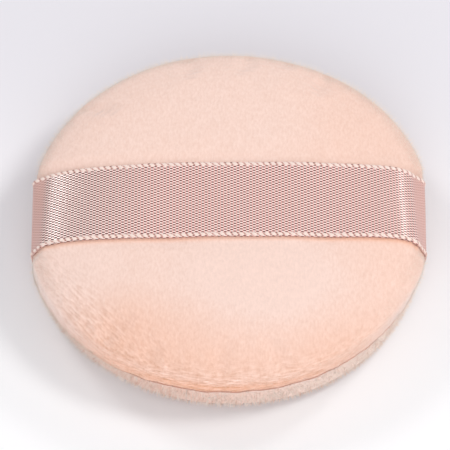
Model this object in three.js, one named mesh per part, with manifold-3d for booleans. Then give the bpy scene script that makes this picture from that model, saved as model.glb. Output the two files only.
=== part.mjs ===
// Powder puff. Two velour discs are sewn together at the rim over a foam pad, and a satin ribbon
// crosses the top as a finger band. Millimetres, +Z up, X along the ribbon, Y to the back.
import * as THREE from 'three';
import { mergeVertices } from 'three/addons/utils/BufferGeometryUtils.js';
import initManifold from 'manifold-3d';

// Outline of the pad: the widest ring of the top cover lies above the seam, and the crown above that
const padRadius = 40;
const seamHeight = 7;
const seamInset = 1.2;
const shoulderRise = 3.8;
const crownRise = 5.7;
const crownFullness = 2.45;
const lowerRingHeight = 2.9;
const lowerRingInset = 0.6;
const baseRadius = 33;

// Cover cloth and its turned-in seam allowance
const coverThickness = 1.6;
const allowanceThickness = 1.2;
const allowanceWidth = 5.4;

// Ribbon
const ribbonWidth = 18;
const ribbonThickness = 0.35;
const ribbonTailSetback = 0.8;
const ribbonDrawIn = 1.6;
const ribbonTrough = 0.5;
const drawReach = 25;

// Sewing
const threadDiameter = 0.36;
const stitchPitch = 5;
const stitchInset = 2.2;
const stitchDip = 0.55;
const closingLength = 36;
const closingCentreAngle = -50 * Math.PI / 180;
const ladderPitch = 3;
const ladderInset = 0.6;

// Clearances
const touchGap = 0.3;
const threadGap = 0.2;
const ribbonGap = 0.45;

// Facets
const turns = 40;
const crownSteps = 7;
const liningSteps = 4;
const foldSteps = 3;
const lowerSteps = 3;
const threadSides = 5;

// Places that follow from the sizes above
const shoulderHeight = seamHeight + shoulderRise;
const crownHeight = shoulderHeight + crownRise;
const foldRadius = padRadius - seamInset;
const allowanceRadius = foldRadius - allowanceWidth;
const topFace = seamHeight + touchGap / 2;
const bottomFace = seamHeight - touchGap / 2;
const topAllowance = topFace + allowanceThickness;
const bottomAllowance = bottomFace - allowanceThickness;
const lowerRadius = padRadius - lowerRingInset;
const innerCorner = padRadius - coverThickness - seamInset / 2;
const stitchRadius = foldRadius - stitchInset;
const threadRadius = threadDiameter / 2;
const closingHalfAngle = closingLength / 2 / padRadius;

const wasm = await initManifold();
wasm.setup();

const velour = new THREE.MeshStandardMaterial({ color: 0xf7d8ca, roughness: 0.95, metalness: 0 });
const paleVelour = new THREE.MeshStandardMaterial({ color: 0xf0dcd0, roughness: 0.97, metalness: 0 });
const satin = new THREE.MeshStandardMaterial({ color: 0xe6c4bd, roughness: 0.38, metalness: 0 });
const foam = new THREE.MeshStandardMaterial({ color: 0xf4ece0, roughness: 0.9, metalness: 0 });
const sewingThread = new THREE.MeshStandardMaterial({ color: 0xecc7b3, roughness: 0.6, metalness: 0 });

// The taut ribbon draws both sides in and presses a shallow trough across the crown.
function pressByRibbon(point) {
  const across = Math.exp(-((2 * point.y / ribbonWidth) ** 2));
  const reach = Math.abs(point.x);
  const outward = THREE.MathUtils.smoothstep(reach, padRadius - drawReach, padRadius - 2 * coverThickness);
  const upward = THREE.MathUtils.smoothstep(point.z, topAllowance + touchGap, crownHeight);
  point.x -= Math.sign(point.x) * ribbonDrawIn * across * outward;
  point.z -= ribbonTrough * across * upward;
  return point;
}

// Profile points are (radius, height). Each profile can be moved inwards, square to its surface.
function movedIn(radius, height, normalRadius, normalHeight, inset) {
  const normal = new THREE.Vector2(normalRadius, normalHeight).setLength(inset);
  return new THREE.Vector2(radius, height).sub(normal);
}

// The crown is a full curve from the middle of the top to the widest ring.
function crownProfile(steps, inset) {
  const power = 2 / crownFullness;
  const points = [new THREE.Vector2(0, crownHeight - inset)];
  for (let i = 1; i <= steps; i += 1) {
    const angle = Math.PI / 2 * (1 - i / steps);
    const along = Math.cos(angle);
    const up = Math.sin(angle);
    const radius = padRadius * along ** power;
    const height = shoulderHeight + crownRise * up ** power;
    const outward = along ** (2 - power) / padRadius;
    const upward = up ** (2 - power) / crownRise;
    points.push(movedIn(radius, height, outward, upward, inset));
  }
  return points;
}

// A cover's edge curls from its widest ring to the fold at the seam.
function foldProfile(ringRadius, ringHeight, faceHeight, inset) {
  const points = [];
  const curl = ringRadius - foldRadius;
  const drop = faceHeight - ringHeight;
  for (let i = 1; i <= foldSteps; i += 1) {
    const angle = Math.PI / 2 * i / foldSteps;
    const along = Math.cos(angle);
    const up = Math.sin(angle);
    points.push(movedIn(foldRadius + curl * along, ringHeight + drop * up, along / curl, up / drop, inset));
  }
  return points;
}

// The underside is flat in the middle and rounds up to the lower ring.
function lowerProfile(inset) {
  const points = [new THREE.Vector2(0, inset), new THREE.Vector2(baseRadius, inset)];
  const width = lowerRadius - baseRadius;
  for (let i = 1; i <= lowerSteps; i += 1) {
    const angle = Math.PI / 2 * i / lowerSteps;
    const along = Math.sin(angle);
    const down = Math.cos(angle);
    const height = lowerRingHeight * (1 - down);
    points.push(movedIn(baseRadius + width * along, height, along / width, -down / lowerRingHeight, inset));
  }
  return points;
}

// Moves an open line of points sideways, to the right of its direction when the distance is positive.
function offsetLine(points, distance) {
  return points.map((point, i) => {
    const before = points[Math.max(i - 1, 0)];
    const after = points[Math.min(i + 1, points.length - 1)];
    const run = after.clone().sub(before).normalize();
    return new THREE.Vector2(point.x + run.y * distance, point.y - run.x * distance);
  });
}

function plainGeometry(geometry) {
  const bare = new THREE.BufferGeometry();
  bare.setAttribute('position', geometry.getAttribute('position').clone());
  bare.setIndex(geometry.getIndex());
  const joined = mergeVertices(bare, 1e-4);
  const index = joined.getIndex().array;
  const kept = [];
  for (let i = 0; i < index.length; i += 3) {
    const [a, b, c] = [index[i], index[i + 1], index[i + 2]];
    if (a !== b && b !== c && c !== a) {
      kept.push(a, b, c);
    }
  }
  joined.setIndex(kept);
  return joined;
}

function latheSolid(points) {
  const geometry = new THREE.LatheGeometry(points, turns);
  geometry.rotateX(Math.PI / 2);
  const bare = plainGeometry(geometry);
  const position = bare.getAttribute('position');
  const point = new THREE.Vector3();
  for (let i = 0; i < position.count; i += 1) {
    pressByRibbon(point.fromBufferAttribute(position, i));
    position.setXYZ(i, point.x, point.y, point.z);
  }
  return bare;
}

function toManifold(geometry) {
  const bare = plainGeometry(geometry);
  return new wasm.Manifold(new wasm.Mesh({
    numProp: 3,
    vertProperties: new Float32Array(bare.getAttribute('position').array),
    triVerts: new Uint32Array(bare.getIndex().array),
  }));
}

function fromManifold(solid) {
  const mesh = solid.getMesh();
  const geometry = new THREE.BufferGeometry();
  geometry.setAttribute('position', new THREE.BufferAttribute(new Float32Array(mesh.vertProperties), 3));
  geometry.setIndex(Array.from(mesh.triVerts));
  return geometry;
}

// A path that is followed from one given point to the next, whatever their spacing.
class StitchPath extends THREE.CatmullRomCurve3 {
  getUtoTmapping(share) {
    return share;
  }
}

function threadTube(points, radius) {
  const ring = [];
  for (let i = 0; i < threadSides; i += 1) {
    const angle = 2 * Math.PI * i / threadSides;
    ring.push(new THREE.Vector2(radius * Math.cos(angle), radius * Math.sin(angle)));
  }
  const path = new StitchPath(points, false, 'centripetal');
  const options = { steps: points.length - 1, extrudePath: path, bevelEnabled: false };
  return plainGeometry(new THREE.ExtrudeGeometry(new THREE.Shape(ring), options));
}

function onRing(radius, angle, height) {
  return pressByRibbon(new THREE.Vector3(radius * Math.cos(angle), radius * Math.sin(angle), height));
}

// Lockstitch: it starts at one end of the closing gap and runs round to the other.
const seamStart = closingCentreAngle + closingHalfAngle;
const seamSweep = 2 * Math.PI - 2 * closingHalfAngle;
const stitchCount = Math.round(seamSweep * stitchRadius / stitchPitch);
const stitchAngles = [];
for (let i = 0; i < stitchCount; i += 1) {
  stitchAngles.push(seamStart + seamSweep * (i + 0.5) / stitchCount);
}

function lockThread(runHeight, dipHeight) {
  const spread = stitchDip / stitchRadius;
  const points = [];
  stitchAngles.forEach((angle) => {
    points.push(onRing(stitchRadius, angle - spread, runHeight));
    points.push(onRing(stitchRadius, angle, dipHeight));
    points.push(onRing(stitchRadius, angle + spread, runHeight));
  });
  return threadTube(points, threadRadius);
}

const slitLength = 2 * (stitchDip + threadRadius + threadGap);
const slitWidth = threadDiameter + 2 * threadGap;
const slitHeight = 2 * (topAllowance - bottomAllowance);
const slits = wasm.Manifold.union(stitchAngles.map((angle) => {
  const slit = new THREE.BoxGeometry(slitWidth, slitLength, slitHeight);
  const centre = onRing(stitchRadius, angle, seamHeight);
  slit.rotateZ(angle);
  slit.translate(centre.x, centre.y, centre.z);
  return toManifold(slit);
}));

// Ladder stitch that closes the gap left for turning the cover right side out.
const ladderRadius = foldRadius - ladderInset;
const ladderTop = (topFace + topAllowance) / 2;
const ladderBottom = (bottomFace + bottomAllowance) / 2;
const ladderCount = Math.round(2 * closingHalfAngle * ladderRadius / ladderPitch);
const ladderStep = 2 * closingHalfAngle / ladderCount;

function ladderPoints(overrun) {
  const first = closingCentreAngle - closingHalfAngle;
  const last = closingCentreAngle + closingHalfAngle;
  const points = [onRing(ladderRadius, first - overrun, ladderTop)];
  for (let i = 1; i < ladderCount; i += 1) {
    const [from, to] = i % 2 === 1 ? [ladderTop, ladderBottom] : [ladderBottom, ladderTop];
    const side = threadDiameter / ladderRadius;
    points.push(onRing(ladderRadius, first + i * ladderStep - side, from));
    points.push(onRing(ladderRadius, first + i * ladderStep + side, to));
  }
  const end = ladderCount % 2 === 1 ? ladderTop : ladderBottom;
  points.push(onRing(ladderRadius, last + overrun, end));
  return points;
}

const ladderOverrun = touchGap / ladderRadius;
const ladderTunnel = toManifold(threadTube(ladderPoints(ladderOverrun), threadRadius + threadGap));

function mirroredLine(line) {
  return line.map((point) => new THREE.Vector2(-point.x, point.y)).reverse();
}

// Ribbon: its line runs over the crown, down the side and into the seam. The free span over the
// crown is the finger band; the two ends are held in the seam.
function topSurface(inset) {
  return [...crownProfile(crownSteps, inset), ...foldProfile(padRadius, shoulderHeight, topFace, inset)];
}

const overPad = topSurface(-(ribbonGap + ribbonThickness / 2)).map((point) => {
  const pressed = pressByRibbon(new THREE.Vector3(point.x, 0, point.y));
  return new THREE.Vector2(pressed.x, pressed.z);
});
const bandSide = overPad.slice(0, crownSteps + 1);
bandSide[crownSteps].y = shoulderHeight + touchGap / 2;
const bandLine = [...mirroredLine(bandSide.slice(1)), ...bandSide];

const tailEnd = allowanceRadius - ribbonDrawIn + ribbonTailSetback;
const tailLine = [
  new THREE.Vector2(bandSide[crownSteps].x, shoulderHeight - touchGap / 2),
  ...overPad.slice(crownSteps + 1, crownSteps + foldSteps),
  new THREE.Vector2(foldRadius - ribbonDrawIn + ribbonGap, seamHeight),
  new THREE.Vector2(tailEnd, seamHeight),
];

function ribbonStrip(line) {
  const upper = offsetLine(line, -ribbonThickness / 2);
  const under = offsetLine(line, ribbonThickness / 2);
  const outline = new THREE.Shape([...upper, ...under.reverse()]);
  const strip = new THREE.ExtrudeGeometry(outline, { depth: ribbonWidth, bevelEnabled: false });
  strip.rotateX(Math.PI / 2);
  strip.translate(0, ribbonWidth / 2, 0);
  return plainGeometry(strip);
}

// The seam allowances make room for the ribbon end that lies between them.
function ribbonPocket(side) {
  const inner = tailEnd - touchGap;
  const outer = padRadius + seamInset;
  const height = ribbonThickness + 2 * touchGap;
  const pocket = new THREE.BoxGeometry(outer - inner, ribbonWidth + 2 * touchGap, height);
  pocket.translate(side * (inner + outer) / 2, 0, seamHeight);
  return toManifold(pocket);
}

const seamCuts = wasm.Manifold.union([slits, ladderTunnel, ribbonPocket(1), ribbonPocket(-1)]);

// Covers and filling
const topOutline = [
  ...topSurface(0),
  new THREE.Vector2(allowanceRadius, topFace),
  new THREE.Vector2(allowanceRadius, topAllowance),
  new THREE.Vector2(innerCorner, topAllowance),
  ...crownProfile(liningSteps, coverThickness).reverse(),
];

const bottomOutline = [
  ...lowerProfile(0),
  ...foldProfile(lowerRadius, lowerRingHeight, bottomFace, 0),
  new THREE.Vector2(allowanceRadius, bottomFace),
  new THREE.Vector2(allowanceRadius, bottomAllowance),
  new THREE.Vector2(innerCorner - lowerRingInset, bottomAllowance),
  ...lowerProfile(coverThickness).reverse(),
];

const foamInset = coverThickness + touchGap;
const grooveRadius = allowanceRadius - touchGap;
const grooveHalf = allowanceThickness + threadDiameter + threadGap + 1.5 * touchGap;
const foamOutline = [
  ...crownProfile(liningSteps, foamInset),
  new THREE.Vector2(innerCorner - touchGap, seamHeight + grooveHalf + touchGap),
  new THREE.Vector2(grooveRadius, seamHeight + grooveHalf),
  new THREE.Vector2(grooveRadius, seamHeight - grooveHalf),
  new THREE.Vector2(innerCorner - lowerRingInset - touchGap, seamHeight - grooveHalf - touchGap),
  ...lowerProfile(foamInset).reverse(),
];

const puff = new THREE.Group();
puff.name = 'powder_puff';

function addPiece(name, geometry, material) {
  const flat = geometry.toNonIndexed();
  flat.computeVertexNormals();
  const piece = new THREE.Mesh(flat, material);
  piece.name = name;
  puff.add(piece);
}

function sewn(geometry, cuts) {
  return fromManifold(toManifold(geometry).subtract(cuts));
}

const needleRun = topAllowance + threadGap + threadRadius;
const needleDip = seamHeight + touchGap / 2 + threadRadius;
const bobbinRun = bottomAllowance - threadGap - threadRadius;
const bobbinDip = seamHeight - touchGap / 2 - threadRadius;

addPiece('bottom_cover', sewn(latheSolid(bottomOutline), seamCuts), paleVelour);
addPiece('foam_core', latheSolid(foamOutline.reverse()), foam);
addPiece('top_cover', sewn(latheSolid(topOutline.reverse()), seamCuts), velour);
addPiece('seam_needle_thread', lockThread(needleRun, needleDip), sewingThread);
addPiece('seam_bobbin_thread', lockThread(bobbinRun, bobbinDip), sewingThread);
addPiece('closing_thread', threadTube(ladderPoints(0), threadRadius), sewingThread);
addPiece('ribbon_left_end', sewn(ribbonStrip(mirroredLine(tailLine)), slits), satin);
addPiece('ribbon_right_end', sewn(ribbonStrip(tailLine), slits), satin);
addPiece('ribbon_band', ribbonStrip(bandLine), satin);

export default puff;
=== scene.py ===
import math
import bpy
import numpy as np
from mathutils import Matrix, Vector


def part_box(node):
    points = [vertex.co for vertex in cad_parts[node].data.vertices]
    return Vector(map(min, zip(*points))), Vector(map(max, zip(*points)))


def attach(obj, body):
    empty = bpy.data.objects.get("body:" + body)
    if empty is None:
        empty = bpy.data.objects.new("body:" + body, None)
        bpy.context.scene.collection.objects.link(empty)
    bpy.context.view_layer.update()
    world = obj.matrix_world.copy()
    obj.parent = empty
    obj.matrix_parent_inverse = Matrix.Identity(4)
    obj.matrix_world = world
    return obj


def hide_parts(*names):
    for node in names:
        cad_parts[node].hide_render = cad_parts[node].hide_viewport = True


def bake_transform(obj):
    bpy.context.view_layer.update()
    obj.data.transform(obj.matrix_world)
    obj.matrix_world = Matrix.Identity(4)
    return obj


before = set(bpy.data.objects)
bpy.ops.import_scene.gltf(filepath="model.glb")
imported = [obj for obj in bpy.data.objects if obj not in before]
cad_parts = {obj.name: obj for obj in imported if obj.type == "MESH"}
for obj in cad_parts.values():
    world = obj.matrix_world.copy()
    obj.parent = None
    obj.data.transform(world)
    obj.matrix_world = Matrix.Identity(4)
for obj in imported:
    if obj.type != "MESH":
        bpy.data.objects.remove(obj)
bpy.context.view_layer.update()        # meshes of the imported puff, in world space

# Powder puff: two velour discs sewn at the rim over foam, with a satin ribbon across the top.
# Lengths are in millimetres until a mesh is made. X runs along the ribbon, Y to the back, Z up.
mm = 0.001
scene = bpy.context.scene
scene.view_settings.view_transform = "Standard"


def frameBox(node):
    # lowest and highest corner of a node of the frame, in millimetres
    low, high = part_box(node)
    return np.array(low) / mm, np.array(high) / mm


topLow, topHigh = frameBox("top_cover")
bottomHigh = frameBox("bottom_cover")[1]
bandLow, bandHigh = frameBox("ribbon_band")
print("frame loaded: pad radius %.1f mm, ribbon %.1f mm wide" % (topHigh[1], bandHigh[1] - bandLow[1]))

pad = {
    "radius": topHigh[1],
    "seamHeight": (topLow[2] + bottomHigh[2]) / 2,
    "faceGap": topLow[2] - bottomHigh[2],    # between the two covers at the seam
    "seamInset": 0.65,                       # the fold lies this far inside the widest ring
    "foldFullness": 3.4,                     # above 2 the side stays steep and turns in close to the seam
    "rimGrowth": 0.6,
    "rimWaves": ((1, 0.1, 200), (2, 0.28, 93), (3, 0.06, 139), (4, 0.18, 110)),    # count, size, degrees
    "frontFlat": (0.6, -85, 32),             # depth, turn and spread in degrees of a flatter stretch
    "shoulderRise": 3.8,
    "crownRise": 6.2,
    "crownFullness": 2.55,
    "lowerRingHeight": 2.5,
    "lowerRingInset": 0.5,
    "baseRadius": 34.5,
    "clothThickness": 1.6,
    "liningRoom": 0.2,                       # the inside of a cover lies this much deeper still
    "allowanceThickness": 1.2,
    "allowanceWidth": 5.4,
    "pileDepth": 0.12,                       # the cloth under the pile lies this far inside the outline
    "poleRadius": 0.02,                      # of the ring round the middle
    "turns": 600,
    "topRings": 142,
    "topCrowding": 1.25,
    "bottomRings": 110,
    "bottomCrowding": 1.6,
}
seamHeight = pad["seamHeight"]
shoulderHeight = seamHeight + pad["shoulderRise"]
crownHeight = shoulderHeight + pad["crownRise"]
foldRadius = pad["radius"] - pad["seamInset"]
allowanceRadius = foldRadius - pad["allowanceWidth"]
lowerRadius = pad["radius"] - pad["lowerRingInset"]

ribbon = {
    "width": bandHigh[1] - bandLow[1],
    "thickness": 0.35,
    "drawIn": 1.4,                    # it draws both sides of the pad in by this much
    "drawReach": 25.0,
    "drawnBelow": 0.6,                # share of that under the seam
    "trough": 0.2,
    "troughRise": 1.65,               # the trough starts this high above the seam
    "entryRoom": 0.2,                 # it runs this far outside the fold before it turns into the seam
    "entryBend": (0.8, 0.5),          # in and up from there
    "tailReach": 32.6,                # where the sewn-in end stops, inside the seam
    "peak": (5.0, 16.95),             # top of its arc, at the middle of its thickness
    "drop": 0.0012,                   # the arc falls by this times the square of the way from the peak
    "leftCorner": (-36.5, 12.9),      # where it turns down the side, after a last fall of the arc
    "leftSharpness": 9,               # the higher, the later and the harder the arc falls to the corner
    "leftFoot": (-39.1, 10.4),        # the side slants out to here and drops straight to the seam
    "rightCorner": (36.4, 14.1),
    "rightSharpness": 14,
    "rightFoot": (38.9, 10.5),
    "rounding": 81,                   # points in the running mean that rounds the bends
    "bowHeight": 0.08,                # slight waves of the free span
    "bowLength": 14.0,
    "freeReach": 38,
    "bendTilt": 0.6,                  # at the bends the back edge lies lower and the front edge higher
    "tiltGrows": (16, 35),            # way from the middle
    "tiltFades": (40.5, 37),
    "floatPitch": 1.264,              # one warp float and its gap
    "rowPair": 0.634,                 # two rows of floats, which lie in brick order
    "skew": 0.078,                    # the rows drift across the ribbon by this share of its length
    "floatHeight": 0.022,
    "alongSteps": 540,
    "topSteps": 148,
    "underSteps": 22,
}

tuck = {
    "clearance": 0.12,        # between the ribbon and the cloth under it
    "lowest": 0.8,            # above the seam
    "pressFade": (3.0, 0.4),  # past the ribbon's edge
    "edgeReach": 4.0,         # the cloth beside the edges swells up to the ribbon over this width
    "edgeSwell": 0.8,
    "edgeInner": (-4, -1),
    "edgeOuter": 0.3,
    "levelShare": (0.5, 0.9), # only where the ribbon lies this level
    "seamMargin": 1.2,        # the folded edges open this much wider than the ribbon's end
    "seamOpening": 0.22,
    "seamFade": 0.9,
    "seamReach": 28,
}


# Small tools

def smoothstep(value, low, high):
    # eases from 0 at low to 1 at high
    share = np.clip((value - low) / (high - low), 0, 1)
    return share * share * (3 - 2 * share)


def bell(value, width, power=2):
    # 1 at 0 and falling off over the width to both sides, the steeper the higher the power
    return np.exp(-np.abs(value / width) ** power)


def atLeast(low, share):
    # a share of 0 to 1 squeezed so that it runs from low to 1
    return low + (1 - low) * share


def polar(points):
    # angle round the Z axis and distance from it
    return np.arctan2(points[..., 1], points[..., 0]), np.hypot(points[..., 0], points[..., 1])


def evenly(line, count, crowding=1.0):
    # the same line with count points: equal steps along its length, or crowded to its end above 1
    step = np.linalg.norm(np.diff(line, axis=0), axis=1)
    along = np.concatenate([[0], np.cumsum(step)])
    share = 1 - (1 - np.linspace(0, 1, count)) ** crowding
    return np.stack([np.interp(share * along[-1], along, axis) for axis in line.T], axis=1)


def lineLength(line):
    # sum of the steps along a line
    return np.linalg.norm(np.diff(line, axis=0), axis=1).sum()


def waves(u, v, length, seed, count=26):
    # sum of plane waves in drawn directions, each near the given wavelength, with mean 0 and spread 1
    draw = np.random.default_rng(seed)
    turn = draw.uniform(0, 2 * np.pi, count)
    pace = 2 * np.pi / (length * draw.uniform(0.7, 1.5, count))
    phase = draw.uniform(0, 2 * np.pi, count)
    total = np.zeros(np.broadcast(u, v).shape)
    for k in range(count):
        total += np.cos(pace[k] * (np.cos(turn[k]) * u + np.sin(turn[k]) * v) + phase[k])
    return total * math.sqrt(2 / count)


def ringWaves(angle, lowest, highest, seed):
    # waves round the rim with whole numbers of turns, so that the ring closes
    draw = np.random.default_rng(seed)
    total = np.zeros(angle.shape)
    for k in range(lowest, highest + 1):
        total += draw.normal() * np.cos(k * angle + draw.uniform(0, 2 * np.pi))
    return total / math.sqrt((highest - lowest + 1) / 2)


def unit(vectors):
    # vectors over their lengths
    return vectors / np.maximum(np.linalg.norm(vectors, axis=-1, keepdims=True), 1e-12)


def gridNormals(points):
    # cross product of the steps along and round a grid that closes round
    along = np.gradient(points, axis=0)
    around = np.roll(points, -1, axis=1) - np.roll(points, 1, axis=1)
    return unit(np.cross(along, around))


def outwardFrom(points):
    # level directions away from the Z axis
    return unit(points * np.array([1, 1, 0.0]) + np.array([0, 0, 1e-6]))


def newPiece(name, mesh, material):
    # an object at the origin with a smooth mesh and one material
    mesh.shade_smooth()
    mesh.materials.append(material)
    piece = bpy.data.objects.new(name, mesh)
    scene.collection.objects.link(piece)
    return piece


def setMaps(mesh, corners):
    # one map for the materials and one for the finished texture, both the same
    for mapName in ("gridMap", "OFBake"):
        layer = mesh.uv_layers.new(name=mapName)
        layer.uv.foreach_set("vector", corners.astype(np.float32).ravel())


def ringFaces(count, turns):
    # four-sided faces between neighbouring rings, and fans from one more point for each end
    ids = np.arange(count * turns).reshape(count, turns)
    beside = np.roll(ids, -1, axis=1)
    quads = np.stack([ids[:-1], ids[1:], beside[1:], beside[:-1]], axis=-1).reshape(-1, 4)
    pole = np.full(turns, count * turns)
    fans = np.concatenate([np.stack([pole, ids[0], beside[0]], axis=-1),
                           np.stack([pole + 1, beside[-1], ids[-1]], axis=-1)])
    return quads, fans


def ringSkin(name, rings, material, aroundPlace=None):
    # Closed skin over rings (ring, turn, xyz), with a pole in the middle of the first and the last ring.
    # The map is (share along, share of a turn or the place given). Faces turn out by the volume's sign.
    count, turns = rings.shape[:2]
    points = np.concatenate([rings.reshape(-1, 3), rings[:1].mean(1), rings[-1:].mean(1)])
    quads, fans = ringFaces(count, turns)
    u = np.linspace(0, 1, count)
    v = np.linspace(0, 1, turns + 1) if aroundPlace is None else aroundPlace
    place = np.stack(np.meshgrid(u, v, indexing="ij"), axis=-1)
    corners = [place[:-1, :-1], place[1:, :-1], place[1:, 1:], place[:-1, 1:]]
    quadMap = np.stack(corners, axis=2).reshape(-1, 4, 2)
    middle = (place[:, :-1] + place[:, 1:]) / 2
    fanMap = np.concatenate([np.stack([middle[0], place[0, :-1], place[0, 1:]], axis=1),
                             np.stack([middle[-1], place[-1, 1:], place[-1, :-1]], axis=1)])
    a, b, c = points[np.concatenate([quads[:, [0, 1, 2]], quads[:, [0, 2, 3]], fans])].swapaxes(0, 1)
    if np.einsum("ij,ij->", a, np.cross(b, c)) < 0:
        quads, fans, quadMap, fanMap = [grid[:, ::-1] for grid in (quads, fans, quadMap, fanMap)]
    mesh = bpy.data.meshes.new(name)
    mesh.from_pydata((points * mm).tolist(), [], quads.tolist() + fans.tolist())
    setMaps(mesh, np.concatenate([quadMap.reshape(-1, 2), fanMap.reshape(-1, 2)]))
    return newPiece(name, mesh, material)


def setMask(piece, name, values):
    # a value at each point of a skin, with the two poles taken from the first and last ring
    values = np.concatenate([values.ravel(), [values[0].mean(), values[-1].mean()]])
    mask = piece.data.attributes.new(name, "FLOAT", "POINT")
    mask.data.foreach_set("value", values.astype(np.float32))


# Camera at the photograph's angle, for a square frame

photo = {
    "distance": 1000.0,
    "elevation": 54.3,        # degrees above the table
    "frameWidth": 89.6,       # what the frame spans at the puff
    "aim": (-0.88, 0.08, 8.06),
    "sensor": 36.0,
}


def photoCamera():
    # looks at the aim point along +Y and down by the elevation
    tilt = math.radians(photo["elevation"])
    back = Vector((0, -math.cos(tilt), math.sin(tilt)))
    data = bpy.data.cameras.new("photoCamera")
    data.sensor_width = photo["sensor"]
    data.lens = photo["sensor"] * photo["distance"] / photo["frameWidth"]
    data.clip_start = 0.01
    data.clip_end = 20
    camera = bpy.data.objects.new("photoCamera", data)
    camera.location = (Vector(photo["aim"]) + back * photo["distance"]) * mm
    camera.rotation_euler = (-back).to_track_quat("-Z", "Y").to_euler()
    scene.collection.objects.link(camera)
    scene.camera = camera


photoCamera()
print("camera placed")


# Materials

socketNames = {
    "roughness": "Roughness",
    "sheen": "Sheen Weight",
    "sheenRoughness": "Sheen Roughness",
    "specular": "Specular IOR Level",
}


def newMaterial(name, **constants):
    # a Principled material; constants go straight onto the shader's own sockets
    material = bpy.data.materials.new(name)
    material.use_nodes = True
    shader = material.node_tree.nodes["Principled BSDF"]
    for socket, value in constants.items():
        shader.inputs[socketNames[socket]].default_value = value
    return material, material.node_tree, shader


def addNode(tree, kind, **settings):
    # a shader node with its settings
    node = tree.nodes.new("ShaderNode" + kind)
    for key, value in settings.items():
        setattr(node, key, value)
    return node


def feed(tree, target, source):
    # a socket is linked, anything else is set
    if isinstance(source, bpy.types.NodeSocket):
        tree.links.new(source, target)
    else:
        target.default_value = source


def feedAll(tree, targets, sources):
    # feeds sockets in their order
    for target, source in zip(targets, sources):
        feed(tree, target, source)


def feedShader(tree, shader, color, normal=None):
    # a colour and, if given, a normal for the surface
    tree.links.new(color, shader.inputs["Base Color"])
    if normal:
        tree.links.new(normal, shader.inputs["Normal"])


def mathNode(tree, operation, *values):
    # one sum, product or function of values
    node = addNode(tree, "Math", operation=operation)
    feedAll(tree, node.inputs, values)
    return node.outputs[0]


def times(tree, first, second):
    # product of two values
    return mathNode(tree, "MULTIPLY", first, second)


def plus(tree, first, second):
    # sum of two values
    return mathNode(tree, "ADD", first, second)


def timesPlus(tree, first, second, third):
    # product of two values and a third one added
    return mathNode(tree, "MULTIPLY_ADD", first, second, third)


def mixColors(tree, share, first, second, blendType="MIX"):
    # first at share 0, second at share 1
    node = addNode(tree, "Mix", data_type="RGBA", blend_type=blendType)
    feedAll(tree, (node.inputs[0], node.inputs[6], node.inputs[7]), (share, first, second))
    return node.outputs[2]


def shadeBy(tree, color, value):
    # the colour times a value
    gray = addNode(tree, "CombineColor")
    feedAll(tree, gray.inputs, (value, value, value))
    return mixColors(tree, 1.0, color, gray.outputs[0], "MULTIPLY")


def mapRange(tree, value, fromRange, toRange=(0.0, 1.0)):
    # eases from one range to another
    node = addNode(tree, "MapRange", interpolation_type="SMOOTHSTEP")
    feedAll(tree, node.inputs, (value, *fromRange, *toRange))
    return node.outputs[0]


def noise(tree, vector, scale, detail=2.0, stretch=(1, 1, 1), turn=0.0):
    # noise on the given coordinates, drawn out by the stretch along axes that are turned about Z
    mapping = addNode(tree, "Mapping", vector_type="TEXTURE")
    tree.links.new(vector, mapping.inputs["Vector"])
    mapping.inputs["Scale"].default_value = stretch
    mapping.inputs["Rotation"].default_value = (0, 0, turn)
    node = addNode(tree, "TexNoise")
    tree.links.new(mapping.outputs[0], node.inputs["Vector"])
    node.inputs["Scale"].default_value = scale
    node.inputs["Detail"].default_value = detail
    return node.outputs[0]


def noiseSwing(tree, vector, size, **settings):
    # noise runs about a half: its swing round that, times a size
    return times(tree, mathNode(tree, "SUBTRACT", noise(tree, vector, **settings), 0.5), size)


def splitMap(tree, vector):
    # place along and place across of a map
    node = addNode(tree, "SeparateXYZ")
    tree.links.new(vector, node.inputs[0])
    return node.outputs[0], node.outputs[1]


def newGroup(name, inputs, outputs):
    # a node group with sockets given as name and kind
    group = bpy.data.node_groups.new(name, "ShaderNodeTree")
    for direction, sockets in (("INPUT", inputs), ("OUTPUT", outputs)):
        for socketName, kind in sockets.items():
            group.interface.new_socket(socketName, in_out=direction, socket_type="NodeSocket" + kind)
    return group, group.nodes.new("NodeGroupInput").outputs, group.nodes.new("NodeGroupOutput").inputs


def placeGroup(tree, group, **values):
    # a group in a material, with its inputs
    node = addNode(tree, "Group", node_tree=group)
    feedAll(tree, [node.inputs[key] for key in values], values.values())
    return node.outputs


def bumpFrom(tree, height, distance, strength):
    # normals of a height of the given size, in metres
    node = addNode(tree, "Bump")
    feed(tree, node.inputs["Height"], height)
    node.inputs["Distance"].default_value = distance
    node.inputs["Strength"].default_value = strength
    return node.outputs[0]


def objectPlace(tree):
    # the piece's own coordinates, in metres
    return addNode(tree, "TexCoord").outputs["Object"]


def gridPlace(tree):
    # the piece's own map
    return addNode(tree, "UVMap", uv_map="gridMap").outputs[0]


def rgba(red, green, blue):
    # a colour written in the usual 0 to 255 of a screen, as the shader's linear values
    def linear(value):
        share = value / 255
        return share / 12.92 if share <= 0.04045 else ((share + 0.055) / 1.055) ** 2.4
    return (linear(red), linear(green), linear(blue), 1.0)


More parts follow.
